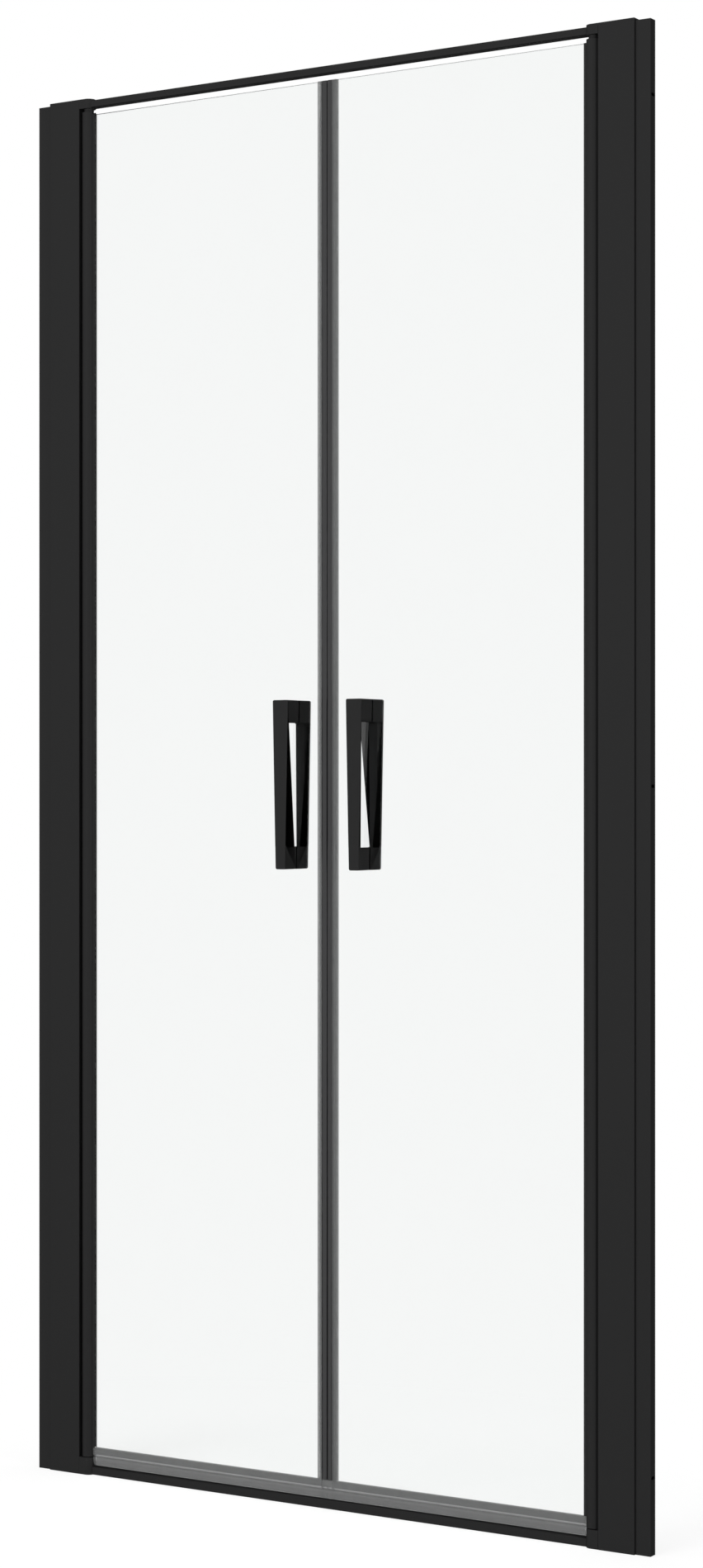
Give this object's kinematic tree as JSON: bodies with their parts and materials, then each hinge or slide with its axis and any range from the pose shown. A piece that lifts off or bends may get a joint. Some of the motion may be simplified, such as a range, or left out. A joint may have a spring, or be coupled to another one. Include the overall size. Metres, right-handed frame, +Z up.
{
  "type": "hinged shower door",
  "caption": "Framed pivoting double-leaf glass shower door for a niche, with black profiles, stabiliser rail, threshold, bottom and magnetic seals and bar handles.",
  "frame": {"origin": "on the floor, halfway across the door, in the middle of the glass's thickness", "axes": "+X along the door to the right as seen from the room, +Y from the room into the shower, +Z up"},
  "size_m": [1, 0.062, 2],
  "materials": {
    "black_profile": "satin black powder coat on extruded aluminium",
    "black_block": "satin black paint on die-cast zinc",
    "black_handle": "satin black paint on die-cast zinc",
    "steel": "plain stainless steel",
    "black_plastic": "moulded black plastic",
    "black_rubber": "soft black gasket",
    "black_sleeve": "extruded soft black plastic, slightly glossy",
    "magnet": "plastic-bonded magnet strip",
    "smoky_seal": "extruded smoky translucent plastic",
    "glass": "clear toughened glass, arrissed edges"
  },
  "bodies": {
    "frame": {"wall_profile_left": "black_profile", "wall_profile_right": "black_profile", "post_profile_left": "black_profile", "post_profile_right": "black_profile", "clamp_screws_left": "steel", "clamp_screws_right": "steel", "top_block_left": "black_block", "top_block_right": "black_block", "bottom_block_left": "black_block", "bottom_block_right": "black_block", "hinge_pins_left": "steel", "hinge_pins_right": "steel", "threshold": "black_profile", "top_rail": "black_profile"},
    "left_leaf": {"hinge_barrel_left": "black_profile", "glazing_gasket_left": "black_rubber", "hinge_bushes_left": "black_plastic", "glass_panel_left": "glass", "magnet_clip_left": "smoky_seal", "magnet_sleeve_left": "black_sleeve", "magnet_strip_left": "magnet", "bottom_seal_left": "smoky_seal", "handle_outer_left": "black_handle", "handle_inner_left": "black_handle", "handle_pads_left": "black_rubber", "handle_studs_left": "steel"},
    "right_leaf": {"hinge_barrel_right": "black_profile", "glazing_gasket_right": "black_rubber", "hinge_bushes_right": "black_plastic", "glass_panel_right": "glass", "magnet_clip_right": "smoky_seal", "magnet_sleeve_right": "black_sleeve", "magnet_strip_right": "magnet", "bottom_seal_right": "smoky_seal", "handle_outer_right": "black_handle", "handle_inner_right": "black_handle", "handle_pads_right": "black_rubber", "handle_studs_right": "steel"}
  },
  "joints": [
    {"name": "left_leaf_swing", "type": "hinge", "parent": "frame", "child": "left_leaf", "pos_m": [-0.4136, 0, 0], "axis": [0, 0, 1], "range_deg": [-90, 90]},
    {"name": "right_leaf_swing", "type": "hinge", "parent": "frame", "child": "right_leaf", "pos_m": [0.4136, 0, 0], "axis": [0, 0, 1], "range_deg": [-90, 90]}
  ]
}
